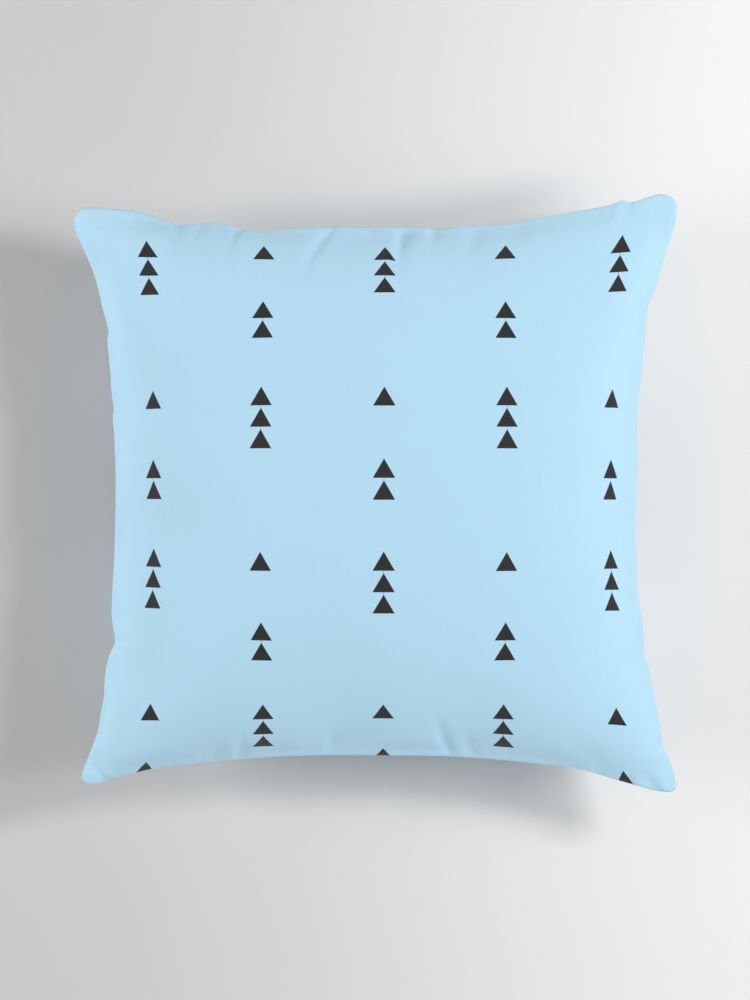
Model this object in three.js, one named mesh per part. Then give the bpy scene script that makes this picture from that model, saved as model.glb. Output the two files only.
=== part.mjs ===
// A square throw pillow that lies on its back, printed face up. It is one filled solid: a front
// and a back panel of cloth, sewn edge to edge along a knife-edge seam and blown up by the filling.
// The filling draws the four sides in between the corners and puckers the cloth along the seam.
//
// Millimetres. X runs across the printed face and Y up it, Z points away from the surface below.
// The origin is on that surface, under the middle of the pillow's outline.

import * as THREE from "three";
import { ParametricGeometry } from "three/addons/geometries/ParametricGeometry.js";
import { mergeGeometries, mergeVertices } from "three/addons/utils/BufferGeometryUtils.js";

// Driving sizes
const pillowWidth = 430; // X, from corner to corner
const pillowLength = 427; // Y, from corner to corner
const seamHeight = 80; // the seam above the surface that the pillow lies on
const frontCrown = 90; // the printed face's middle above the seam
const backCrown = 90; // the back's middle below the seam, if the pillow hung free
const restBlend = 4; // how softly the back turns into the flat spot that its weight presses
const crownRoundness = 2.6; // 2 turns evenly all the way, more is flatter in the middle
const crownPower = 0.8; // 0.5 meets the seam upright, 1 at a slant
const seamWave = { rise: 2, pitch: 96, reach: 22 }; // the seam weaves up and down between gathers

// The panels' mesh: cells along each side, and how much closer they lie at the seam
const panelCells = 48;
const seamCrowding = 0.5;
const seamSteps = 600; // chords that a side's length is measured with
const weldDistance = 0.001;

// The seam from above, inside the rectangle that the pillow just fills. Corners are plain places.
const corners = {
  topLeft: { x: -213, y: 201 },
  topRight: { x: 212, y: 210.5 },
  bottomRight: { x: 213.5, y: -212 },
  bottomLeft: { x: -209, y: -206 },
};

// Each side between two corners: at runs along X or Y, inset is how far the seam is drawn in
// from the rectangle's own side.
const topSide = [
  { at: -204, inset: 10.4 },
  { at: -181, inset: 10.8 },
  { at: -166, inset: 13.2 },
  { at: -147, inset: 20.2 },
  { at: -122, inset: 20 },
  { at: -93, inset: 26.6 },
  { at: -40, inset: 24.3 },
  { at: 3, inset: 24.3 },
  { at: 40, inset: 25.7 },
  { at: 90, inset: 22.2 },
  { at: 146, inset: 12.1 },
  { at: 178, inset: 5 },
  { at: 203, inset: 0 },
];
const bottomSide = [
  { at: -198, inset: 6.8 },
  { at: -182, inset: 10.7 },
  { at: -160, inset: 16.6 },
  { at: -125, inset: 20.8 },
  { at: -54, inset: 26 },
  { at: 39, inset: 26.2 },
  { at: 118, inset: 20.6 },
  { at: 147, inset: 16.2 },
  { at: 175, inset: 9.2 },
  { at: 195, inset: 3 },
  { at: 208, inset: 0 },
];
const leftSide = [
  { at: 194, inset: 0 },
  { at: 173, inset: 7.2 },
  { at: 152, inset: 16.2 },
  { at: 123, inset: 21.5 },
  { at: 66, inset: 27.5 },
  { at: 16, inset: 29.8 },
  { at: -48, inset: 28.6 },
  { at: -84, inset: 27 },
  { at: -106, inset: 28.6 },
  { at: -122, inset: 23.6 },
  { at: -158, inset: 19.3 },
  { at: -192, inset: 8.6 },
];
const rightSide = [
  { at: 201, inset: 0 },
  { at: 180, inset: 5.1 },
  { at: 159, inset: 11.4 },
  { at: 133, inset: 21.5 },
  { at: 88, inset: 25.7 },
  { at: 16, inset: 28.8 },
  { at: -27, inset: 29.5 },
  { at: -80, inset: 27.4 },
  { at: -134, inset: 19.2 },
  { at: -190, inset: 4.5 },
  { at: -204, inset: 1.3 },
];

// Gathers. Each starts on the seam at a place along its side and runs inwards: it drifts by lean,
// dies out at reach, and dips by depth, or stands up where depth is negative.
const frontGathers = [
  { side: "top", at: -147, lean: 4, reach: 34, width: 24, depth: 2.5 },
  { side: "top", at: -94, lean: -18, reach: 50, width: 26, depth: 4 },
  { side: "top", at: -34, lean: -20, reach: 46, width: 24, depth: 3 },
  { side: "top", at: 28, lean: -22, reach: 50, width: 28, depth: 4 },
  { side: "top", at: 180, lean: -18, reach: 36, width: 26, depth: -3 },
  { side: "bottom", at: -108, lean: 8, reach: 60, width: 34, depth: 2 },
  { side: "bottom", at: 50, lean: -8, reach: 52, width: 28, depth: 3.5 },
  { side: "bottom", at: 158, lean: -46, reach: 66, width: 34, depth: 4 },
  { side: "left", at: 114, lean: -4, reach: 34, width: 26, depth: 2.5 },
  { side: "left", at: -106, lean: 6, reach: 40, width: 26, depth: 3.5 },
  { side: "right", at: 136, lean: -8, reach: 40, width: 28, depth: 3 },
  { side: "right", at: -84, lean: 4, reach: 38, width: 30, depth: 2.5 },
];
const backGathers = [
  { side: "top", at: -120, lean: 14, reach: 50, width: 30, depth: 4 },
  { side: "top", at: -10, lean: -10, reach: 46, width: 28, depth: 3.5 },
  { side: "top", at: 108, lean: -14, reach: 48, width: 28, depth: 3.5 },
  { side: "bottom", at: -70, lean: -12, reach: 48, width: 28, depth: 3.5 },
  { side: "bottom", at: 92, lean: 10, reach: 50, width: 30, depth: 4 },
  { side: "left", at: 60, lean: 10, reach: 44, width: 28, depth: 3 },
  { side: "left", at: -60, lean: -8, reach: 44, width: 28, depth: 3 },
  { side: "right", at: 74, lean: -8, reach: 46, width: 28, depth: 3.5 },
  { side: "right", at: -118, lean: 8, reach: 44, width: 28, depth: 3 },
];
const gatherPeak = { rise: 0.5, fall: 1.5 }; // powers that put the deepest place a quarter in
const gatherLip = 0.7; // the swell on both sides of a gather, against its depth

const halfWidth = pillowWidth / 2;
const halfLength = pillowLength / 2;

// One side of the seam as a smooth curve, from the left to the right or from the bottom to the top.
function seamCurve(from, to, rows, place) {
  const stations = rows.map(place);
  const points = [from, ...stations, to].map(({ x, y }) => new THREE.Vector3(x, y, 0));
  const curve = new THREE.CatmullRomCurve3(points, false, "centripetal");
  curve.arcLengthDivisions = seamSteps;
  return curve;
}

const fromBelow = (rows) => [...rows].reverse();
const seam = {
  top: seamCurve(corners.topLeft, corners.topRight, topSide, ({ at, inset }) => ({
    x: at,
    y: halfLength - inset,
  })),
  bottom: seamCurve(corners.bottomLeft, corners.bottomRight, bottomSide, ({ at, inset }) => ({
    x: at,
    y: inset - halfLength,
  })),
  left: seamCurve(corners.bottomLeft, corners.topLeft, fromBelow(leftSide), ({ at, inset }) => ({
    x: inset - halfWidth,
    y: at,
  })),
  right: seamCurve(corners.bottomRight, corners.topRight, fromBelow(rightSide), ({ at, inset }) => ({
    x: halfWidth - inset,
    y: at,
  })),
};

// The sheet that spans the seam like a drumskin: the four sides blended across each other.
// u runs across and v up, both from 0 to 1. It also gives the seam points beside the place.
function spanSeam(u, v) {
  const beside = {
    top: seam.top.getPointAt(u),
    bottom: seam.bottom.getPointAt(u),
    left: seam.left.getPointAt(v),
    right: seam.right.getPointAt(v),
  };
  const acrossSides = beside.left.clone().lerp(beside.right, u);
  const upSides = beside.bottom.clone().lerp(beside.top, v);
  const lowCorners = seam.bottom.getPoint(0).lerp(seam.bottom.getPoint(1), u);
  const highCorners = seam.top.getPoint(0).lerp(seam.top.getPoint(1), u);
  const place = acrossSides.add(upSides).sub(lowCorners.lerp(highCorners, v));
  place.z = seamHeight + seamLift(place, beside);
  return { place, beside };
}

// A place seen from one side: its run along that side, and how far inwards it lies.
function placeFrom(side, place, beside) {
  const edge = beside[side];
  const lying = side === "top" || side === "bottom";
  return lying
    ? { run: place.x, inwards: Math.abs(edge.y - place.y) }
    : { run: place.y, inwards: Math.abs(edge.x - place.x) };
}

// The seam's weaving up and down. The cloth follows it near the seam, and the corners lie level.
function seamLift(place, beside) {
  let lift = 0;
  for (const side of Object.keys(beside)) {
    const { run, inwards } = placeFrom(side, place, beside);
    const level = Math.max(0, 1 - (run / halfLength) ** 2);
    const fade = Math.exp(-inwards / seamWave.reach);
    lift += seamWave.rise * level * fade * Math.sin((2 * Math.PI * run) / seamWave.pitch);
  }
  return lift;
}

// How much one gather lowers the cloth at a place, in millimetres.
function gatherDip(gather, place, beside) {
  const { run, inwards } = placeFrom(gather.side, place, beside);
  const way = inwards / gather.reach;
  if (way >= 1) return 0;
  const offset = run - gather.at - gather.lean * way;
  const across = (2 * offset / gather.width) ** 2;
  const section = (1 - gatherLip * across) * Math.exp(-across);
  const { rise, fall } = gatherPeak;
  const peakWay = rise / (rise + fall);
  const peak = peakWay ** rise * (1 - peakWay) ** fall;
  return (gather.depth * section * way ** rise * (1 - way) ** fall) / peak;
}

// Cells get shorter towards the seam, where the cloth turns steeply.
function crowd(t) {
  const eased = (1 - Math.cos(Math.PI * t)) / 2;
  return THREE.MathUtils.lerp(t, eased, seamCrowding);
}

// How far the filling lifts a panel off the seam, from 0 at the seam to 1 in the middle. The two
// sections share the cloth, so the crown stays full along the diagonals and thin in the corners.
function swell(u, v) {
  const across = 1 - Math.abs(2 * u - 1) ** crownRoundness;
  const upwards = 1 - Math.abs(2 * v - 1) ** crownRoundness;
  const both = across * upwards;
  return both > 0 ? (both / (across + upwards - both)) ** crownPower : 0;
}

// The printed face.
function frontPoint(s, t, target) {
  const [u, v] = [crowd(s), crowd(t)];
  const { place, beside } = spanSeam(u, v);
  const dips = frontGathers.reduce((sum, gather) => sum + gatherDip(gather, place, beside), 0);
  const lift = swell(u, v);
  target.copy(place);
  if (lift > 0) target.z += frontCrown * lift - dips;
}

// The back, which its own weight presses flat in the middle. Its points run from right to left.
function backPoint(s, t, target) {
  const [u, v] = [crowd(1 - s), crowd(t)];
  const { place, beside } = spanSeam(u, v);
  const dips = backGathers.reduce((sum, gather) => sum + gatherDip(gather, place, beside), 0);
  const lift = swell(u, v);
  target.copy(place);
  if (lift > 0) target.z = restOnSurface(place.z - backCrown * lift + dips);
}

// A height that would sink below the surface lies on it, with a soft turn just above.
function restOnSurface(height) {
  if (height >= restBlend) return height;
  if (height <= -restBlend) return 0;
  return (height + restBlend) ** 2 / (4 * restBlend);
}

// Both panels, welded into one closed body along the seam.
function sewPillow() {
  const front = new ParametricGeometry(frontPoint, panelCells, panelCells);
  const back = new ParametricGeometry(backPoint, panelCells, panelCells);
  const panels = mergeGeometries([front, back]);
  panels.deleteAttribute("normal");
  panels.deleteAttribute("uv");
  const pillow = mergeVertices(panels, weldDistance);
  pillow.computeBoundingBox();
  const { min, max } = pillow.boundingBox;
  pillow.translate(-(min.x + max.x) / 2, -(min.y + max.y) / 2, -min.z);
  pillow.computeVertexNormals();
  return pillow;
}

const coverCloth = new THREE.MeshStandardMaterial({ color: 0xb4daed, roughness: 0.85, metalness: 0 });
const cushion = new THREE.Mesh(sewPillow(), coverCloth);
cushion.name = "cushion";

const pillow = new THREE.Group();
pillow.name = "triangle_pillow";
pillow.add(cushion);

export default pillow;
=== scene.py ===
import math

import bpy
import numpy as np
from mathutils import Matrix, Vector


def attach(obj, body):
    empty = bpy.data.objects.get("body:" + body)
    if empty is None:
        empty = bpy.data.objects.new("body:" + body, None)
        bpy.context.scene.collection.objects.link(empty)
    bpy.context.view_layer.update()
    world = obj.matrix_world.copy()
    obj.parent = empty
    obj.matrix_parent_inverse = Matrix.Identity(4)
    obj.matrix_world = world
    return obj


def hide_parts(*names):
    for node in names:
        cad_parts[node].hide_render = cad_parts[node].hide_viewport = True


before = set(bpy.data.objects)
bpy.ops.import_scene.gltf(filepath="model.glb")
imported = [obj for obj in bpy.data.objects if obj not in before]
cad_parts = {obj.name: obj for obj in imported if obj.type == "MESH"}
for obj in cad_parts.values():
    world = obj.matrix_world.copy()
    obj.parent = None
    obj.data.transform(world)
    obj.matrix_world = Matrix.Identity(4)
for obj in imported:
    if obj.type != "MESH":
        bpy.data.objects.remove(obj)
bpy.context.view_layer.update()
mm = 0.001


# Camera. The picture is 750 by 1000 pixels, and the pillow's middle lies a little off its centre.
cameraView = {
    "pictureWidth": 750,
    "pictureHeight": 1000,
    "pillowColumn": 375.5,
    "pillowRow": 493,
    "pixelAtSeam": 0.714 * mm,
    "seamHeight": 80 * mm,
    "distance": 3.2,  # from the camera to the seam
    "farthest": 50,  # how far the camera sees
    "sensor": 36,
}


def makeCamera(view):
    data = bpy.data.cameras.new("camera")
    data.sensor_width = view["sensor"]
    seenHeight = view["pictureHeight"] * view["pixelAtSeam"]
    data.lens = view["sensor"] * view["distance"] / seenHeight
    data.clip_end = view["farthest"]
    camera = bpy.data.objects.new("camera", data)
    offColumns = view["pictureWidth"] / 2 - view["pillowColumn"]
    offRows = view["pillowRow"] - view["pictureHeight"] / 2
    camera.location = (
        offColumns * view["pixelAtSeam"],
        offRows * view["pixelAtSeam"],
        view["seamHeight"] + view["distance"],
    )
    bpy.context.scene.collection.objects.link(camera)
    bpy.context.scene.camera = camera


makeCamera(cameraView)
print("camera made")


# The studio: a pale floor with painted shade on the left and painted light on the right, standing
# in for the key lights' falloff; three key lights from the right, and low soft lights round the
# pillow. Turn is counterclockwise from the right, in degrees.
studio = {
    "floorRadius": 1.4,
    "floorSides": 96,
    "floorRoughness": 0.9,
    "floorDrop": 0.3 * mm,  # keeps the floor clear of the pillow's flat spot
    # Painted light: the floor's colour is darker on the left and lighter on the right, in place of
    # the key lights' falloff across it
    "floorShadedLeft": (0.562, 0.549, 0.541, 1),
    "floorLitRight": (0.803, 0.788, 0.779, 1),
    "floorLightFade": 0.3,  # from the middle to either tone
    "skyColour": (1, 1, 1, 1),
    "skyLight": 0.22,
    "skySeen": 0.8,  # how pale the sky looks beyond the floor
    "aim": (0, 0, 50 * mm),
}
studioLights = [
    {"name": "key", "turn": 20, "rise": 48, "distance": 1.9, "size": 0.42, "watts": 16.5},
    {"name": "keyLow", "turn": 0, "rise": 38, "distance": 1.9, "size": 0.42, "watts": 8},
    {"name": "keyNear", "turn": -10, "rise": 48, "distance": 1.9, "size": 0.42, "watts": 2.9},
    {"name": "leftFill", "turn": 180, "rise": 25, "distance": 1.7, "size": 0.8, "watts": 13.6},
    {"name": "leftLow", "turn": 180, "rise": 10, "distance": 1.7, "size": 0.8, "watts": 2.5},
    {"name": "farLeftFill", "turn": 135, "rise": 15, "distance": 1.7, "size": 0.8, "watts": 4.4},
    {"name": "farFill", "turn": 90, "rise": 15, "distance": 1.7, "size": 0.8, "watts": 3},
    {"name": "nearFill", "turn": 270, "rise": 15, "distance": 1.7, "size": 0.8, "watts": 7.8},
]


def makeFloor(values):
    mesh = bpy.data.meshes.new("floor")
    sides, radius, level = values["floorSides"], values["floorRadius"], -values["floorDrop"]
    turns = [2 * math.pi * k / sides for k in range(sides)]
    ring = [(radius * math.cos(turn), radius * math.sin(turn), level) for turn in turns]
    mesh.from_pydata(ring, [], [tuple(range(sides))])
    floor = bpy.data.objects.new("floor", mesh)
    bpy.context.scene.collection.objects.link(floor)
    paint = bpy.data.materials.new("floorPaintedLight")
    paint.use_nodes = True
    tree = paint.node_tree
    shader = tree.nodes["Principled BSDF"]
    shader.inputs["Roughness"].default_value = values["floorRoughness"]
    place = tree.nodes.new("ShaderNodeTexCoord")
    parts = tree.nodes.new("ShaderNodeSeparateXYZ")
    tree.links.new(place.outputs["Object"], parts.inputs[0])
    # Painted light: the floor's tone fades from the painted shade on the left to the painted light
    # on the right
    fade = tree.nodes.new("ShaderNodeMapRange")
    fade.interpolation_type = "SMOOTHSTEP"
    fade.inputs["From Min"].default_value = -values["floorLightFade"]
    fade.inputs["From Max"].default_value = values["floorLightFade"]
    tree.links.new(parts.outputs["X"], fade.inputs["Value"])
    tone = tree.nodes.new("ShaderNodeMix")
    tone.data_type = "RGBA"
    tone.inputs["A"].default_value = values["floorShadedLeft"]
    tone.inputs["B"].default_value = values["floorLitRight"]
    tree.links.new(fade.outputs["Result"], tone.inputs["Factor"])
    tree.links.new(tone.outputs["Result"], shader.inputs["Base Color"])
    mesh.materials.append(paint)


def makeStudio(values, lights):
    scene = bpy.context.scene
    scene.view_settings.view_transform = "Standard"
    world = bpy.data.worlds.new("sky")
    world.use_nodes = True
    background = world.node_tree.nodes["Background"]
    background.inputs["Color"].default_value = values["skyColour"]
    seen = world.node_tree.nodes.new("ShaderNodeLightPath")
    strength = world.node_tree.nodes.new("ShaderNodeMix")
    strength.inputs["A"].default_value = values["skyLight"]
    strength.inputs["B"].default_value = values["skySeen"]
    world.node_tree.links.new(seen.outputs["Is Camera Ray"], strength.inputs["Factor"])
    world.node_tree.links.new(strength.outputs["Result"], background.inputs["Strength"])
    scene.world = world

    for row in lights:
        data = bpy.data.lights.new(row["name"], "AREA")
        data.shape = "DISK"
        data.size = row["size"]
        data.energy = row["watts"]
        light = bpy.data.objects.new(row["name"], data)
        turn, rise = math.radians(row["turn"]), math.radians(row["rise"])
        ahead = (math.cos(rise) * math.cos(turn), math.cos(rise) * math.sin(turn), math.sin(rise))
        aim = Vector(values["aim"])
        light.location = aim + row["distance"] * Vector(ahead)
        light.rotation_euler = (aim - light.location).to_track_quat("-Z", "Y").to_euler()
        scene.collection.objects.link(light)


makeFloor(studio)
makeStudio(studio, studioLights)
print("studio made")


# The pillow's own sizes. A flat panel of cloth is bigger than the filled outline: the filling's
# crown takes up the rest, and the seam is gathered a little.
pillow = {
    "panel": 437 * mm,  # one flat panel, seam to seam
    "width": 430 * mm,
    "length": 427 * mm,
    "seamHeight": 80 * mm,
    "restBlend": 4 * mm,  # how softly the back turns up from the floor
    "simCells": 64,  # along a side of a panel, while it is filled
    "cells": 220,  # along a side in the finished mesh
    "seamCrowding": 0.5,  # 0 spaces them evenly, and more draws them towards the seam
    "kinkReach": 8 * mm,  # how far in the cloth follows the seam's small kinks
}

# The seam as it shows from above. Each side is drawn in from the width by length rectangle by
# inset, at places along X or Y. Where inset is negative, the seam lies just outside the rectangle.
seamCorners = {
    "topLeft": (-212.1, 200.3),
    "topRight": (213, 210),
    "bottomRight": (214.2, -212),
    "bottomLeft": (-209.7, -204.7),
}
topSide = [
    {"at": -209, "inset": 10.4},
    {"at": -203.8, "inset": 9.8},
    {"at": -189.6, "inset": 10.8},
    {"at": -175.3, "inset": 11.9},
    {"at": -161, "inset": 14.7},
    {"at": -153.9, "inset": 17.5},
    {"at": -146.7, "inset": 20.3},
    {"at": -139.2, "inset": 22.3},
    {"at": -132.4, "inset": 21.8},
    {"at": -118.2, "inset": 20.3},
    {"at": -109.6, "inset": 21.1},
    {"at": -101, "inset": 23.5},
    {"at": -92.5, "inset": 26.1},
    {"at": -86, "inset": 27.3},
    {"at": -78.2, "inset": 26.9},
    {"at": -61, "inset": 25.2},
    {"at": -39.6, "inset": 24},
    {"at": -26.8, "inset": 23.7},
    {"at": -3.9, "inset": 24.3},
    {"at": 26, "inset": 24.5},
    {"at": 34.6, "inset": 24.9},
    {"at": 41.5, "inset": 25.7},
    {"at": 67.5, "inset": 23},
    {"at": 92.5, "inset": 21.9},
    {"at": 121, "inset": 16.6},
    {"at": 146, "inset": 11.9},
    {"at": 163, "inset": 8.7},
    {"at": 171, "inset": 6.7},
    {"at": 174, "inset": 5.2},
    {"at": 177, "inset": 4.7},
    {"at": 182, "inset": 6},
    {"at": 192.4, "inset": 3},
    {"at": 199.6, "inset": 0.7},
    {"at": 203.8, "inset": 0.1},
    {"at": 208.8, "inset": 1.1},
]
rightSide = [
    {"at": 205.6, "inset": 0.2},
    {"at": 200.6, "inset": 0.2},
    {"at": 193.5, "inset": 0.9},
    {"at": 180.6, "inset": 4.8},
    {"at": 159.2, "inset": 11.2},
    {"at": 144.9, "inset": 15.6},
    {"at": 134.2, "inset": 20.2},
    {"at": 128, "inset": 21},
    {"at": 109.2, "inset": 22.8},
    {"at": 87.8, "inset": 24.9},
    {"at": 52.1, "inset": 28},
    {"at": 16.4, "inset": 28},
    {"at": -26.4, "inset": 29.2},
    {"at": -45.5, "inset": 28.4},
    {"at": -74.5, "inset": 27.8},
    {"at": -81.2, "inset": 26.3},
    {"at": -102.6, "inset": 23.4},
    {"at": -115.5, "inset": 23},
    {"at": -123.5, "inset": 20.3},
    {"at": -147.8, "inset": 15.3},
    {"at": -171.6, "inset": 10.8},
    {"at": -178.8, "inset": 10.3},
    {"at": -188, "inset": 6.5},
    {"at": -197, "inset": 2.8},
    {"at": -207, "inset": 0.7},
]
bottomSide = [
    {"at": -205.5, "inset": 6.1},
    {"at": -200.3, "inset": 5.7},
    {"at": -182.4, "inset": 10.5},
    {"at": -161, "inset": 16.2},
    {"at": -125.3, "inset": 20.5},
    {"at": -89.6, "inset": 24.1},
    {"at": -53.9, "inset": 25.9},
    {"at": 6, "inset": 26.2},
    {"at": 38.9, "inset": 25.9},
    {"at": 74.6, "inset": 24.1},
    {"at": 115.7, "inset": 20.3},
    {"at": 135.3, "inset": 18.4},
    {"at": 151.4, "inset": 14.8},
    {"at": 171, "inset": 9},
    {"at": 183.5, "inset": 5.5},
    {"at": 196, "inset": 2},
    {"at": 205.8, "inset": 0.1},
    {"at": 210.7, "inset": 0.2},
]
leftSide = [
    {"at": 197.6, "inset": 0.8},
    {"at": 193.5, "inset": -0.3},
    {"at": 189.5, "inset": 0},
    {"at": 173.5, "inset": 6.9},
    {"at": 152, "inset": 15.4},
    {"at": 137.8, "inset": 18.8},
    {"at": 115.4, "inset": 24.4},
    {"at": 109.5, "inset": 23.8},
    {"at": 90.2, "inset": 25.3},
    {"at": 66.4, "inset": 27},
    {"at": 60, "inset": 28.2},
    {"at": 55, "inset": 27.4},
    {"at": 42.6, "inset": 28.4},
    {"at": 16.4, "inset": 29.6},
    {"at": -12, "inset": 29.3},
    {"at": -47.8, "inset": 28.4},
    {"at": -88.3, "inset": 26.8},
    {"at": -106, "inset": 29},
    {"at": -114.5, "inset": 25.4},
    {"at": -124, "inset": 22.8},
    {"at": -135.9, "inset": 21.6},
    {"at": -145.4, "inset": 21.3},
    {"at": -152.6, "inset": 19.7},
    {"at": -169.2, "inset": 17},
    {"at": -176.4, "inset": 14.6},
    {"at": -192, "inset": 8.7},
    {"at": -198.3, "inset": 6.1},
    {"at": -202.5, "inset": 5},
]

# Gathers: soft troughs, or ridges where depth is negative, that run inwards from the seam. They
# start at a place on their side, curve sideways by lean and die out at reach, as seen from above.
frontGathers = [
    {"side": "top", "at": -142, "lean": 4, "reach": 26, "width": 12, "depth": 1.6},
    {"side": "top", "at": -124, "lean": -4, "reach": 18, "width": 8, "depth": 1.3},
    {"side": "top", "at": -104, "lean": -4, "reach": 28, "width": 10, "depth": -1.2},
    {"side": "top", "at": -98, "lean": -14, "reach": 56, "width": 16, "depth": 0.9},
    {"side": "top", "at": -96, "lean": -6, "reach": 28, "width": 9, "depth": 1.1},
    {"side": "top", "at": -90, "lean": -3, "reach": 46, "width": 9, "depth": -1.4},
    {"side": "top", "at": -31, "lean": -20, "reach": 50, "width": 13, "depth": 2.2},
    {"side": "top", "at": -30, "lean": -2, "reach": 11, "width": 5, "depth": 1},
    {"side": "top", "at": -1, "lean": -3, "reach": 11, "width": 5, "depth": 1},
    {"side": "top", "at": 12, "lean": -3, "reach": 28, "width": 10, "depth": -0.8},
    {"side": "top", "at": 23, "lean": -7, "reach": 42, "width": 14, "depth": 3},
    {"side": "top", "at": 35, "lean": -4, "reach": 26, "width": 10, "depth": -1.5},
    {"side": "top", "at": 42, "lean": 0, "reach": 18, "width": 9, "depth": 0.8},
    {"side": "top", "at": 72, "lean": -4, "reach": 42, "width": 16, "depth": 1.2},
    {"side": "top", "at": 104, "lean": -4, "reach": 26, "width": 16, "depth": 1.2},
    {"side": "top", "at": 115, "lean": 0, "reach": 26, "width": 8, "depth": -0.8},
    {"side": "top", "at": 156, "lean": 0, "reach": 16, "width": 14, "depth": 1},
    {"side": "top", "at": 176, "lean": -8, "reach": 26, "width": 10, "depth": -1.4},
    {"side": "top", "at": 183, "lean": -2, "reach": 12, "width": 6, "depth": 0.8},
    {"side": "bottom", "at": -191, "lean": -8, "reach": 18, "width": 7, "depth": 1.4},
    {"side": "bottom", "at": -103, "lean": 0, "reach": 34, "width": 12, "depth": -0.8},
    {"side": "bottom", "at": -93, "lean": -2, "reach": 46, "width": 13, "depth": 0.9},
    {"side": "bottom", "at": -31, "lean": 0, "reach": 28, "width": 10, "depth": 0.8},
    {"side": "bottom", "at": 55, "lean": -12, "reach": 42, "width": 13, "depth": 1.9},
    {"side": "bottom", "at": 71, "lean": -6, "reach": 24, "width": 12, "depth": 1.4},
    {"side": "bottom", "at": 165, "lean": -20, "reach": 34, "width": 30, "depth": 1.2},
    {"side": "bottom", "at": 200, "lean": -6, "reach": 14, "width": 15, "depth": 1.8},
    {"side": "bottom", "at": 207, "lean": -3, "reach": 16, "width": 8, "depth": -1},
    {"side": "left", "at": 115, "lean": -3, "reach": 18, "width": 8, "depth": 1},
    {"side": "left", "at": 60, "lean": 0, "reach": 14, "width": 7, "depth": 0.8},
    {"side": "left", "at": -106, "lean": 4, "reach": 26, "width": 12, "depth": 1.3},
    {"side": "right", "at": 135, "lean": -6, "reach": 24, "width": 12, "depth": 1.2},
    {"side": "right", "at": -78, "lean": 4, "reach": 24, "width": 12, "depth": 1},
    {"side": "right", "at": -115, "lean": 3, "reach": 18, "width": 9, "depth": 0.8},
    {"side": "right", "at": -178, "lean": 0, "reach": 14, "width": 9, "depth": 0.8},
]
backGathers = [
    {"side": "top", "at": -120, "lean": 14, "reach": 50, "width": 24, "depth": 3.5},
    {"side": "top", "at": -10, "lean": -10, "reach": 46, "width": 22, "depth": 3},
    {"side": "top", "at": 108, "lean": -14, "reach": 48, "width": 22, "depth": 3},
    {"side": "bottom", "at": -70, "lean": -12, "reach": 48, "width": 22, "depth": 3},
    {"side": "bottom", "at": 92, "lean": 10, "reach": 50, "width": 24, "depth": 3.5},
    {"side": "left", "at": 60, "lean": 10, "reach": 44, "width": 22, "depth": 2.5},
    {"side": "left", "at": -60, "lean": -8, "reach": 44, "width": 22, "depth": 2.5},
    {"side": "right", "at": 74, "lean": -8, "reach": 46, "width": 22, "depth": 3},
    {"side": "right", "at": -118, "lean": 8, "reach": 44, "width": 22, "depth": 2.5},
]

# How fast a gather deepens from the seam and fades again, and how far its lips stand out
gatherShape = {"rise": 0.5, "fall": 1.5, "lip": 0.7}

# How the cloth takes up the filling: the seam is drawn in over the first frames, while the
# filling's pressure lifts both panels
filling = {
    "frames": 14,
    "steps": 5,  # in each frame
    "sewingFrames": 6,
    "startBulge": 4 * mm,
    "pressure": 60,
    "tension": 60,
    "compression": 0.5,
    "shear": 0.5,
    "bending": 15,
    "mass": 0.02,
    "damping": 3,
    "calming": 3,  # passes that even out the sharpest creases
    "evening": 6,  # cells that the threads' sideways waves are smoothed over
}
seamWave = {"rise": 2 * mm, "pitch": 96 * mm}

# Beside the stitches both panels roll out a little, and small ripples run inwards from them
seamRoll = {"height": 0.9 * mm, "reach": 3.5 * mm}
seamRipples = {
    "seed": 7,
    "height": 0.1 * mm,
    "reach": 7 * mm,
    "waves": 9,
    "finest": 7 * mm,
    "broadest": 24 * mm,
}


def smoothLine(points, chords=40):
    # A centripetal Catmull-Rom line, as many short chords
    p = np.array(points, float)
    p = np.vstack([2 * p[0] - p[1], p, 2 * p[-1] - p[-2]])
    gap = np.sqrt(np.linalg.norm(np.diff(p, axis=0), axis=1))
    t = np.linspace(0, 1, chords, endpoint=False)[:, None]
    pieces = []
    for i in range(1, len(p) - 2):
        before, here, after = gap[i - 1 : i + 2]
        step = p[i + 1] - p[i]
        leave = (p[i] - p[i - 1]) / before - (p[i + 1] - p[i - 1]) / (before + here) + step / here
        arrive = step / here - (p[i + 2] - p[i]) / (here + after) + (p[i + 2] - p[i + 1]) / after
        leave, arrive = leave * here, arrive * here
        bend = (2 * t**3 - 3 * t**2 + 1) * p[i] + (3 * t**2 - 2 * t**3) * p[i + 1]
        pieces.append(bend + (t**3 - 2 * t**2 + t) * leave + (t**3 - t**2) * arrive)
    return np.vstack([*pieces, p[-2][None]])


def along(line, share):
    # Points on a line at shares of its length
    run = np.r_[0, np.cumsum(np.linalg.norm(np.diff(line, axis=0), axis=1))]
    return np.stack([np.interp(share * run[-1], run, line[:, k]) for k in (0, 1)], -1)


def seamLines(values):
    halfWidth, halfLength = values["width"] / 2, values["length"] / 2
    corner = {name: np.array(place) * mm for name, place in seamCorners.items()}

    def side(start, rows, end, place):
        between = [place(row["at"] * mm, row["inset"] * mm) for row in rows]
        return smoothLine([corner[start], *between, corner[end]])

    leftUp, rightUp = leftSide[::-1], rightSide[::-1]
    return {
        "top": side("topLeft", topSide, "topRight", lambda at, d: (at, halfLength - d)),
        "bottom": side("bottomLeft", bottomSide, "bottomRight", lambda at, d: (at, d - halfLength)),
        "left": side("bottomLeft", leftUp, "topLeft", lambda at, d: (d - halfWidth, at)),
        "right": side("bottomRight", rightUp, "topRight", lambda at, d: (halfWidth - d, at)),
    }


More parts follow.
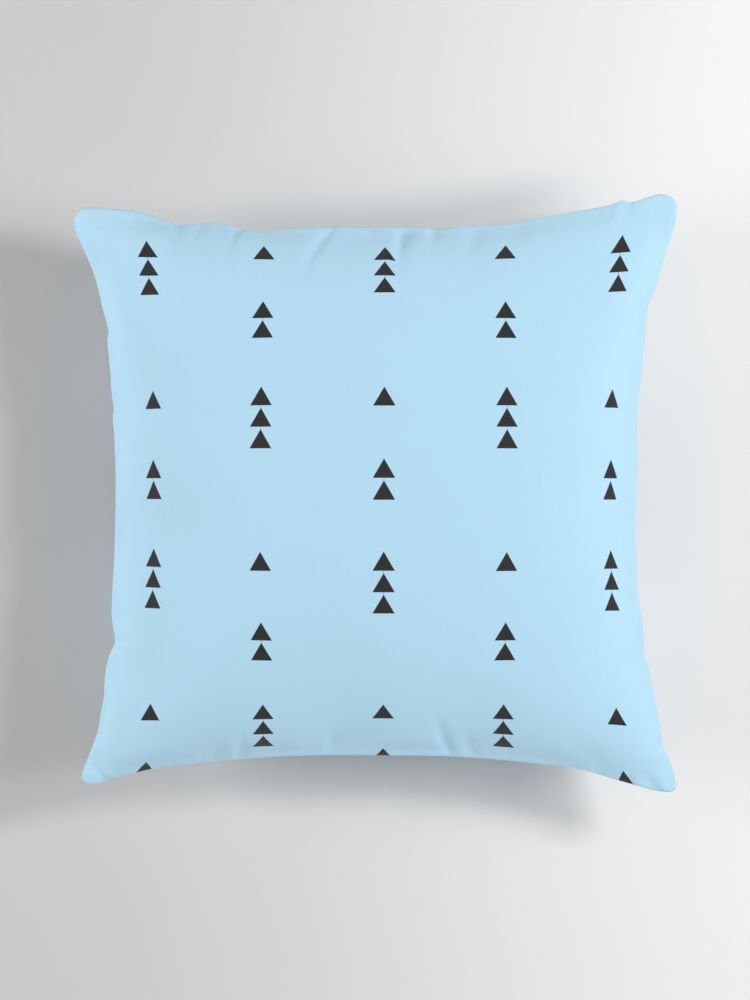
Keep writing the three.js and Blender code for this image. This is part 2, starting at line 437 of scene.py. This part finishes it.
def fromSide(side, place):
    # Each place as seen from one side: its run along that side and how far inwards it lies
    axis = 0 if side in ("top", "bottom") else 1
    edges = {"bottom": np.s_[:1], "top": np.s_[-1:], "left": np.s_[:, :1], "right": np.s_[:, -1:]}
    edge = place[edges[side]]
    return place[..., axis], np.abs(edge[..., 1 - axis] - place[..., 1 - axis])


def seamRim(grid, lines, values, shares):
    # A panel with its rim on the seam. The seam weaves a little up and down between the corners.
    rim = grid.copy()
    edges = {"bottom": np.s_[0], "top": np.s_[-1], "left": np.s_[:, 0], "right": np.s_[:, -1]}
    for side, edge in edges.items():
        place = along(lines[side], shares)
        run = place[:, 0 if side in ("top", "bottom") else 1]
        level = np.clip(1 - (2 * run / values["length"]) ** 2, 0, 1)
        wave = seamWave["rise"] * level * np.sin(2 * math.pi * run / seamWave["pitch"])
        rim[edge] = np.column_stack([place, values["seamHeight"] + wave])
    return rim


def cutPanels(values, fill):
    # Both panels as they were cut, flat and square, and a little apart in the middle
    shares = np.linspace(-1, 1, values["simCells"] + 1)
    u, v = np.meshgrid(shares, shares)
    half = values["panel"] / 2
    apart = fill["startBulge"] * (1 - u**2) * (1 - v**2)
    front = np.dstack([u * half, v * half, values["seamHeight"] + apart])
    back = np.dstack([u * half, v * half, values["seamHeight"] - apart])
    return front, back


def panelIndices(count):
    # Vertex numbers of the front panel and of the back, which shares the front's rim
    front = np.arange(count * count).reshape(count, count)
    back = front.copy()
    inner = count - 2
    back[1:-1, 1:-1] = count * count + np.arange(inner * inner).reshape(inner, inner)
    return front, back


def cornerwise(quads):
    # A quad is split from its first point to its third. Here the points are turned so that each
    # quarter's quads are split towards the pillow's corner. A split across the corner would lay a
    # triangle of the front on one of the back.
    half = len(quads) // 2
    quads = quads.copy()
    for quarter in (np.s_[:half, half:], np.s_[half:, :half]):
        quads[quarter] = np.roll(quads[quarter], -1, axis=2)
    return quads


def panelFaces(index, upward):
    a, b = index[:-1, :-1], index[:-1, 1:]
    c, d = index[1:, 1:], index[1:, :-1]
    turn = (a, b, c, d) if upward else (a, d, c, b)
    return cornerwise(np.stack(turn, -1)).reshape(-1, 4)


def sewnPoints(front, back):
    # All the front's points, and the back's without its rim
    return np.vstack([front.reshape(-1, 3), back[1:-1, 1:-1].reshape(-1, 3)])


def sewnMesh(name, front, back):
    frontIndex, backIndex = panelIndices(len(front))
    faces = np.vstack([panelFaces(frontIndex, True), panelFaces(backIndex, False)])
    mesh = bpy.data.meshes.new(name)
    mesh.from_pydata(sewnPoints(front, back).tolist(), [], faces.tolist())
    mesh.update()
    return mesh, frontIndex, backIndex


def fillPillow(values, lines, fill):
    # Cloth with pressure inside. Its rim is pinned to a shape key that draws the seam in.
    scene = bpy.context.scene
    front, back = cutPanels(values, fill)
    mesh, frontIndex, backIndex = sewnMesh("filledPillow", front, back)
    sim = bpy.data.objects.new("filledPillow", mesh)
    scene.collection.objects.link(sim)
    sim.shape_key_add(name="cut")
    sewn = sim.shape_key_add(name="sewn")
    rimmed = seamRim(front, lines, values, np.linspace(0, 1, len(front)))
    sewn.data.foreach_set("co", sewnPoints(rimmed, back).ravel())
    for frameNumber, share in ((1, 0), (fill["sewingFrames"], 1)):
        sewn.value = share
        sewn.keyframe_insert("value", frame=frameNumber)
    pins = sim.vertex_groups.new(name="seam")
    inside = np.zeros(frontIndex.shape, bool)
    inside[1:-1, 1:-1] = True
    pins.add(frontIndex[~inside].tolist(), 1, "REPLACE")

    cloth = sim.modifiers.new("cloth", "CLOTH")
    cloth.collision_settings.use_collision = False
    settings = cloth.settings
    settings.quality = fill["steps"]
    settings.mass = fill["mass"]
    settings.tension_stiffness = fill["tension"]
    settings.compression_stiffness = fill["compression"]
    settings.shear_stiffness = fill["shear"]
    settings.bending_stiffness = fill["bending"]
    settings.tension_damping = fill["damping"]
    settings.compression_damping = fill["damping"]
    settings.shear_damping = fill["damping"]
    settings.air_damping = fill["damping"]
    settings.vertex_group_mass = "seam"
    settings.use_pressure = True
    settings.uniform_pressure_force = fill["pressure"]
    settings.effector_weights.gravity = 0
    for step in range(1, fill["frames"] + 1):
        scene.frame_set(step)
    done = sim.evaluated_get(bpy.context.evaluated_depsgraph_get()).to_mesh()
    found = np.zeros(len(done.vertices) * 3)
    done.vertices.foreach_get("co", found)
    found = found.reshape(-1, 3)
    scene.frame_set(1)
    keys = mesh.shape_keys
    motion = keys.animation_data.action
    keys.animation_data_clear()
    bpy.data.actions.remove(motion)
    bpy.data.objects.remove(sim)
    bpy.data.meshes.remove(mesh)
    print("filled, from", round(found[:, 2].min() / mm, 1), "to", round(found[:, 2].max() / mm, 1))
    panels = [calmed(found[index], fill["calming"]) for index in (frontIndex, backIndex)]
    return [evened(panel, fill["evening"]) for panel in panels]


def calmed(grid, passes):
    # Evens out a panel's sharpest creases and leaves its rim where it is
    for _ in range(passes):
        ring = grid[:-2, 1:-1] + grid[2:, 1:-1] + grid[1:-1, :-2] + grid[1:-1, 2:]
        grid = grid.copy()
        grid[1:-1, 1:-1] = grid[1:-1, 1:-1] / 2 + ring / 8
    return grid


def evened(grid, cells):
    # Takes the sideways waves out of the threads: those that run up a panel are smoothed up it,
    # those that run across are smoothed across, and the seam stays where it is
    tail = 3 * cells
    reach = np.arange(-tail, tail + 1)
    weight = np.exp(-((reach / cells) ** 2) / 2)
    weight /= weight.sum()
    steps = np.arange(len(grid))
    fromRim = np.clip(np.minimum(steps, steps[::-1]) / cells, 0, 1)
    grid = grid.copy()
    for k, turned in ((0, grid[..., 0].T), (1, grid[..., 1])):
        longer = [np.pad(row, tail, "reflect", reflect_type="odd") for row in turned]
        smooth = np.array([np.convolve(row, weight, "valid") for row in longer])
        turned += (smooth - turned) * fromRim[:, None]
    return grid


def crowded(count, crowding):
    # Shares of a side, closer together at its ends
    even = np.linspace(0, 1, count + 1)
    return (1 - crowding) * even + crowding * (1 - np.cos(math.pi * even)) / 2


def resample(grid, shares):
    # Cubic steps between a panel's points, first down the rows and then across the columns
    for axis in (0, 1):
        rows = np.moveaxis(grid, axis, 0)
        padded = np.concatenate([2 * rows[:1] - rows[1:2], rows, 2 * rows[-1:] - rows[-2:-1]])
        place = shares * (len(rows) - 1)
        first = np.minimum(place.astype(int), len(rows) - 2)
        t = (place - first)[:, None, None]
        p0, p1, p2, p3 = (padded[first + k] for k in range(4))
        cubic = 2 * p1 + (p2 - p0) * t + (2 * p0 - 5 * p1 + 4 * p2 - p3) * t**2
        rows = (cubic + (3 * p1 - p0 - 3 * p2 + p3) * t**3) / 2
        grid = np.moveaxis(rows, 0, axis)
    return grid


def ontoSeam(grid, lines, values, shares):
    # Moves a panel's rim onto the seam's small kinks, and the cloth beside it a little less
    offset = seamRim(grid, lines, values, shares) - grid
    near = np.exp(-((shares * values["panel"] / values["kinkReach"]) ** 2))
    grid = grid + near[:, None, None] * offset[0] + near[::-1, None, None] * offset[-1]
    grid += near[:, None] * offset[:, :1] + near[::-1, None] * offset[:, -1:]
    return grid


def outwards(grid, upward):
    # Unit normals of a panel, pointing out of the pillow
    normal = np.cross(np.gradient(grid, axis=1), np.gradient(grid, axis=0))
    normal /= np.maximum(np.linalg.norm(normal, axis=2, keepdims=True), 1e-12)
    return normal if upward else -normal


def gatherDips(grid, gathers):
    # How deep all the gathers press in at each point of a panel
    dips = np.zeros(grid.shape[:2])
    rise, fall, lip = gatherShape["rise"], gatherShape["fall"], gatherShape["lip"]
    peakWay = rise / (rise + fall)
    peak = peakWay**rise * (1 - peakWay) ** fall
    for row in gathers:
        run, inwards = fromSide(row["side"], grid[..., :2] / mm)
        way = np.clip(inwards / row["reach"], 0, 1)
        offset = run - row["at"] - row["lean"] * way * (2 - way)
        across = (2 * offset / row["width"]) ** 2
        section = (1 - lip * across) * np.exp(-across)
        dips += row["depth"] * mm * section * way**rise * (1 - way) ** fall / peak
    return dips


def seamSwell(shares, values, seed):
    # How far the cloth stands out beside the seam: a roll along the stitches, and ripples
    half = values["panel"] / 2
    chance = np.random.default_rng(seed)
    place = (2 * shares - 1) * half
    u, v = np.meshgrid(place, place)
    swell = np.zeros_like(u)
    for run, inwards in ((u, half - v), (u, half + v), (v, half + u), (v, half - u)):
        away = inwards / seamRoll["reach"]
        swell += seamRoll["height"] * away * np.exp(1 - away)
        length = np.geomspace(seamRipples["finest"], seamRipples["broadest"], seamRipples["waves"])
        phase = chance.uniform(0, 2 * math.pi, len(length))
        waves = np.sin(2 * math.pi * run[..., None] / length + phase) * np.sqrt(length / length[-1])
        away = inwards / seamRipples["reach"]
        swell += seamRipples["height"] * waves.sum(-1) * away * np.exp(1 - away)
    return swell


def restOnFloor(height, blend):
    # What would sink below the floor lies on it, with a soft turn just above
    turn = (np.clip(height, -blend, blend) + blend) ** 2 / (4 * blend)
    return np.where(height > blend, height, turn)


def shapePillow(values):
    lines = seamLines(values)
    panels = fillPillow(values, lines, filling)
    shares = crowded(values["cells"], values["seamCrowding"])
    front, back = [ontoSeam(resample(panel, shares), lines, values, shares) for panel in panels]
    seed = seamRipples["seed"]
    for panel, upward, gathers, chance in (
        (front, True, frontGathers, seed),
        (back, False, backGathers, seed + 1),
    ):
        lift = seamSwell(shares, values, chance) - gatherDips(panel, gathers)
        panel[1:-1, 1:-1] += (outwards(panel, upward) * lift[..., None])[1:-1, 1:-1]
    back[..., 2] = restOnFloor(back[..., 2], values["restBlend"])
    return front, back, shares


# The cover: a front panel, printed, and a plain back panel in the same cloth.
coverCloth = {
    "blue": (0.43, 0.675, 0.83, 1),
    "roughness": 0.85,
    "threadShine": 0.06,  # how much less rough a thread's top is than the gaps
    "specular": 0.3,
    "sheen": 0.25,
    "sheenRoughness": 0.35,
    "darkest": 0.94,  # tone of the darkest threads
    "toneSpread": 0.12,  # from these to the lightest
    "weaveDepth": 0.06 * mm,
    "weaveStrength": 0.45,
}
threads = {
    "pitch": 0.55 * mm,
    "wander": 0.2,  # how far a thread strays, in threads
    "wanderScale": 260,
    "wanderDetail": 2,
    "crest": 0.4,  # the lower, the flatter a thread passes over the next
    "streakFine": 1800,  # across the threads
    "streakLong": 45,  # along them
    "streakDetail": 3,
}
trianglePrint = {
    "ink": (0.0205, 0.02, 0.0205, 1),
    "inkShine": 0.08,  # how much less rough the ink is than the cloth
    "side": 16 * mm,
    "stackPitch": 15.6 * mm,
    "columnPitch": 88.8 * mm,
    "repeat": 237.3 * mm,
    "firstColumn": 4.9 * mm,
    "singleTip": 75.7 * mm,
    "pairStart": 51.8 * mm,  # below the single's tip
    "tripleStart": 118.1 * mm,
    "hairline": 0.25 * mm,
    "edge": 0.08 * mm,
}

# The print lies a little off the panel's own thread lines where the cloth is eased into the
# corners, and it was cut a trace askew and bowed. Half is from the middle to the seam.
printGive = {
    "half": 224 * mm,
    "corner": 125 * mm,  # how strongly the cloth is eased towards the corners
    "seam": 1.26,  # above 1, the easing turns back at the seam
    "askewX": -1.75 * mm,  # what the print has shifted by at the far seam
    "askewY": 0.7 * mm,
    "bowY": -2.2 * mm,  # how far its lines bend between the middle and the seam
    "lowLeftX": -9.2 * mm,  # how much more the cloth is eased into the lower left corner
    "lowLeftY": -0.6 * mm,
}


def printPlace(along, across, drift, give):
    # One coordinate of the print, from the shares of a panel, each from -1 to 1
    eased = along**3 * (1 - along**2) * across**2 * (1 - give["seam"] * across**2)
    return give["half"] * along + give["corner"] * eased + drift


def printMap(shares, give):
    # Where each point of a panel lies on the printed cloth
    place = 2 * shares - 1
    s, t = np.meshgrid(place, place)
    lowLeft = (np.clip(-s, 0, 1) * np.clip(-t, 0, 1)) ** 3
    driftX = give["askewX"] * t
    driftY = give["askewY"] * s + give["bowY"] * s**2
    printX = printPlace(s, t, driftX, give) + lowLeft * give["lowLeftX"]
    printY = printPlace(t, s, driftY, give) + lowLeft * give["lowLeftY"]
    return np.dstack([printX, printY])


def newGroup(name, inputs, outputs):
    group = bpy.data.node_groups.new(name, "ShaderNodeTree")
    for label, kind, value in inputs:
        socket = group.interface.new_socket(label, in_out="INPUT", socket_type=kind)
        if value is not None:
            socket.default_value = value
    for label, kind in outputs:
        group.interface.new_socket(label, in_out="OUTPUT", socket_type=kind)
    source = group.nodes.new("NodeGroupInput")
    target = group.nodes.new("NodeGroupOutput")
    return group, source.outputs, target.inputs


def feed(tree, socket, value):
    if isinstance(value, bpy.types.NodeSocket):
        tree.links.new(value, socket)
    else:
        socket.default_value = value


def calc(tree, operation, *values):
    node = tree.nodes.new("ShaderNodeMath")
    node.operation = operation
    for socket, value in zip(node.inputs, values):
        feed(tree, socket, value)
    return node.outputs[0]


def softStep(tree, value, low, high):
    node = tree.nodes.new("ShaderNodeMapRange")
    node.interpolation_type = "SMOOTHSTEP"
    feed(tree, node.inputs["Value"], value)
    feed(tree, node.inputs["From Min"], low)
    feed(tree, node.inputs["From Max"], high)
    return node.outputs["Result"]


def splitPlace(tree, vector):
    node = tree.nodes.new("ShaderNodeSeparateXYZ")
    tree.links.new(vector, node.inputs[0])
    return node.outputs["X"], node.outputs["Y"]


def makePrintGroup(values):
    sizes = ["side", "stackPitch", "columnPitch", "repeat", "firstColumn", "singleTip"]
    sizes += ["pairStart", "tripleStart", "hairline", "edge"]
    labels = [("Cloth Place", "NodeSocketVector", None)]
    labels += [(name, "NodeSocketFloat", values[name]) for name in sizes]
    tree, given, result = newGroup("trianglePrint", labels, [("Ink", "NodeSocketFloat")])
    x, y = splitPlace(tree, given["Cloth Place"])

    # The column that a place is nearest to, and how far to its side the place lies
    fromFirst = calc(tree, "SUBTRACT", x, given["firstColumn"])
    columnsAway = calc(tree, "DIVIDE", fromFirst, given["columnPitch"])
    column = calc(tree, "ROUND", columnsAway)
    sideways = calc(tree, "SUBTRACT", columnsAway, column)
    sideways = calc(tree, "ABSOLUTE", calc(tree, "MULTIPLY", sideways, given["columnPitch"]))

    # Every other column is half a repeat lower. Down runs from a single's tip to the next one's.
    odd = calc(tree, "FLOORED_MODULO", column, 2)
    drop = calc(tree, "MULTIPLY", calc(tree, "MULTIPLY", odd, given["repeat"]), 0.5)
    down = calc(tree, "SUBTRACT", calc(tree, "SUBTRACT", given["singleTip"], drop), y)
    down = calc(tree, "FLOORED_MODULO", down, given["repeat"])

    # One triangle, then a stack of two, then a stack of three
    pastPair = calc(tree, "GREATER_THAN", down, given["pairStart"])
    pastTriple = calc(tree, "GREATER_THAN", down, given["tripleStart"])
    pairStep = calc(tree, "MULTIPLY", pastPair, given["pairStart"])
    tripleMore = calc(tree, "SUBTRACT", given["tripleStart"], given["pairStart"])
    stackTop = calc(tree, "ADD", pairStep, calc(tree, "MULTIPLY", pastTriple, tripleMore))
    count = calc(tree, "ADD", calc(tree, "ADD", pastPair, pastTriple), 1)
    below = calc(tree, "SUBTRACT", down, stackTop)
    step = calc(tree, "FLOOR", calc(tree, "DIVIDE", below, given["stackPitch"]))
    within = calc(tree, "SUBTRACT", below, calc(tree, "MULTIPLY", step, given["stackPitch"]))
    inStack = calc(tree, "LESS_THAN", step, count)

    # Signed distance to an equilateral triangle's slanted sides and to its base
    halfWide = calc(tree, "MULTIPLY", within, math.tan(math.pi / 6))
    pastSlant = calc(tree, "SUBTRACT", sideways, halfWide)
    slant = calc(tree, "MULTIPLY", pastSlant, math.cos(math.pi / 6))
    height = calc(tree, "MULTIPLY", given["side"], math.sin(math.pi / 3))
    base = calc(tree, "SUBTRACT", within, height)
    outside = calc(tree, "MAXIMUM", slant, base)
    inverse = calc(tree, "MULTIPLY", given["edge"], -1)
    triangle = calc(tree, "SUBTRACT", 1, softStep(tree, outside, inverse, given["edge"]))

    # A hairline joins each tip to the base above it
    lineSide = calc(tree, "SUBTRACT", sideways, calc(tree, "MULTIPLY", given["hairline"], 0.5))
    line = calc(tree, "SUBTRACT", 1, softStep(tree, lineSide, inverse, given["edge"]))
    notLast = calc(tree, "LESS_THAN", calc(tree, "ADD", step, 1), count)
    line = calc(tree, "MULTIPLY", line, notLast)
    ink = calc(tree, "MULTIPLY", calc(tree, "MAXIMUM", triangle, line), inStack)
    tree.links.new(ink, result["Ink"])
    return tree


def makeWeaveGroup(values):
    # Plain weave: each thread passes over one and under the next. Tone is the threads' own
    # unevenness, a little lighter or darker along their length.
    labels = [
        ("Cloth Place", "NodeSocketVector", None),
        ("Thread Pitch", "NodeSocketFloat", values["pitch"]),
        ("Wander", "NodeSocketFloat", values["wander"]),
    ]
    outputs = [("Height", "NodeSocketFloat"), ("Tone", "NodeSocketFloat")]
    tree, given, result = newGroup("plainWeave", labels, outputs)
    drift = tree.nodes.new("ShaderNodeTexNoise")
    drift.inputs["Scale"].default_value = values["wanderScale"]
    drift.inputs["Detail"].default_value = values["wanderDetail"]
    tree.links.new(given["Cloth Place"], drift.inputs["Vector"])
    x, y = splitPlace(tree, given["Cloth Place"])
    stray = calc(tree, "SUBTRACT", drift.outputs["Fac"], 0.5)
    wander = calc(tree, "MULTIPLY", stray, given["Wander"])
    warp = calc(tree, "ADD", calc(tree, "DIVIDE", x, given["Thread Pitch"]), wander)
    weft = calc(tree, "ADD", calc(tree, "DIVIDE", y, given["Thread Pitch"]), wander)
    parity = calc(tree, "ADD", calc(tree, "FLOOR", warp), calc(tree, "FLOOR", weft))
    over = calc(tree, "FLOORED_MODULO", parity, 2)
    ridges = []
    for thread in (warp, weft):
        turn = calc(tree, "MULTIPLY", calc(tree, "FRACT", thread), math.pi)
        ridges.append(calc(tree, "SINE", turn))
    flatter = [calc(tree, "POWER", ridge, values["crest"]) for ridge in ridges]
    warpOver = calc(tree, "MULTIPLY", ridges[0], flatter[1])
    weftOver = calc(tree, "MULTIPLY", ridges[1], flatter[0])
    difference = calc(tree, "MULTIPLY", calc(tree, "SUBTRACT", warpOver, weftOver), over)
    tree.links.new(calc(tree, "ADD", weftOver, difference), result["Height"])

    tones = []
    fine, long = values["streakFine"], values["streakLong"]
    for stretch in ((fine, long, 1), (long, fine, 1)):
        scaled = tree.nodes.new("ShaderNodeVectorMath")
        scaled.operation = "MULTIPLY"
        tree.links.new(given["Cloth Place"], scaled.inputs[0])
        scaled.inputs[1].default_value = stretch
        streak = tree.nodes.new("ShaderNodeTexNoise")
        streak.inputs["Scale"].default_value = 1
        streak.inputs["Detail"].default_value = values["streakDetail"]
        tree.links.new(scaled.outputs[0], streak.inputs["Vector"])
        tones.append(streak.outputs["Fac"])
    tree.links.new(calc(tree, "MULTIPLY", calc(tree, "ADD", *tones), 0.5), result["Tone"])
    return tree


def placeGroup(tree, group, vector):
    node = tree.nodes.new("ShaderNodeGroup")
    node.node_tree = group
    tree.links.new(vector, node.inputs["Cloth Place"])
    return node


def mixColour(tree, share, first, second, kind="MIX"):
    node = tree.nodes.new("ShaderNodeMix")
    node.data_type = "RGBA"
    node.blend_type = kind
    feed(tree, node.inputs["Factor"], share)
    feed(tree, node.inputs["A"], first)
    feed(tree, node.inputs["B"], second)
    return node.outputs["Result"]


def makeClothMaterial(name, values, weaveGroup, printGroup=None, printed=None):
    material = bpy.data.materials.new(name)
    material.use_nodes = True
    tree = material.node_tree
    shader = tree.nodes["Principled BSDF"]
    clothMap = tree.nodes.new("ShaderNodeUVMap")
    clothMap.uv_map = "clothMap"
    place = clothMap.outputs["UV"]
    weave = placeGroup(tree, weaveGroup, place)

    # The threads' tone tints both the cloth and the ink
    spread, darkest = values["toneSpread"], values["darkest"]
    tone = calc(tree, "MULTIPLY_ADD", weave.outputs["Tone"], spread, darkest)
    combined = tree.nodes.new("ShaderNodeCombineColor")
    for socket in combined.inputs[:3]:
        tree.links.new(tone, socket)
    colour = mixColour(tree, 1.0, values["blue"], combined.outputs[0], "MULTIPLY")
    shine = values["threadShine"]
    gaps = values["roughness"] + shine / 2
    roughness = calc(tree, "MULTIPLY_ADD", weave.outputs["Height"], -shine, gaps)
    if printGroup:
        ink = placeGroup(tree, printGroup, place).outputs["Ink"]
        inked = mixColour(tree, 1.0, printed["ink"], combined.outputs[0], "MULTIPLY")
        colour = mixColour(tree, ink, colour, inked)
        roughness = calc(tree, "MULTIPLY_ADD", ink, -printed["inkShine"], roughness)
    tree.links.new(colour, shader.inputs["Base Color"])
    tree.links.new(roughness, shader.inputs["Roughness"])
    shader.inputs["Specular IOR Level"].default_value = values["specular"]
    shader.inputs["Sheen Weight"].default_value = values["sheen"]
    shader.inputs["Sheen Roughness"].default_value = values["sheenRoughness"]

    bump = tree.nodes.new("ShaderNodeBump")
    bump.inputs["Strength"].default_value = values["weaveStrength"]
    bump.inputs["Distance"].default_value = values["weaveDepth"]
    tree.links.new(weave.outputs["Height"], bump.inputs["Height"])
    tree.links.new(bump.outputs["Normal"], shader.inputs["Normal"])
    return material


def addMap(mesh, name, frontPlaces, backPlaces):
    # Every face corner takes its panel's place; the front's faces come first
    layer = mesh.uv_layers.new(name=name)
    rows = []
    for places, order in ((frontPlaces, (0, 1, 2, 3)), (backPlaces, (0, 3, 2, 1))):
        corners = (places[:-1, :-1], places[:-1, 1:], places[1:, 1:], places[1:, :-1])
        rows.append(cornerwise(np.stack([corners[k] for k in order], 2)).reshape(-1, 2))
    layer.data.foreach_set("uv", np.vstack(rows).ravel())


def makePillow(values):
    front, back, shares = shapePillow(values)
    mesh = sewnMesh("pillow", front, back)[0]
    cloth = printMap(shares, printGive)
    addMap(mesh, "clothMap", cloth, cloth)
    u, v = np.meshgrid(shares, shares)
    frontShare = 0.66  # of the bake's height: the print needs the finer half
    margin = 0.004
    frontBake = np.dstack([u, v * (frontShare - margin)])
    backBake = np.dstack([u, frontShare + margin + v * (1 - frontShare - margin)])
    addMap(mesh, "OFBake", frontBake, backBake)
    mesh.uv_layers["clothMap"].active_render = True
    mesh.polygons.foreach_set("use_smooth", np.ones(len(mesh.polygons), bool))
    panel = np.zeros(len(mesh.polygons), np.int32)
    panel[len(panel) // 2 :] = 1
    mesh.polygons.foreach_set("material_index", panel)

    weaveGroup = makeWeaveGroup(threads)
    printGroup = makePrintGroup(trianglePrint)
    mesh.materials.append(
        makeClothMaterial("printedCloth", coverCloth, weaveGroup, printGroup, trianglePrint)
    )
    mesh.materials.append(makeClothMaterial("plainCloth", coverCloth, weaveGroup))
    cushion = bpy.data.objects.new("pillow", mesh)
    bpy.context.scene.collection.objects.link(cushion)
    return cushion


cushion = makePillow(pillow)
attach(cushion, "root")
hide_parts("cushion")
print("pillow made")
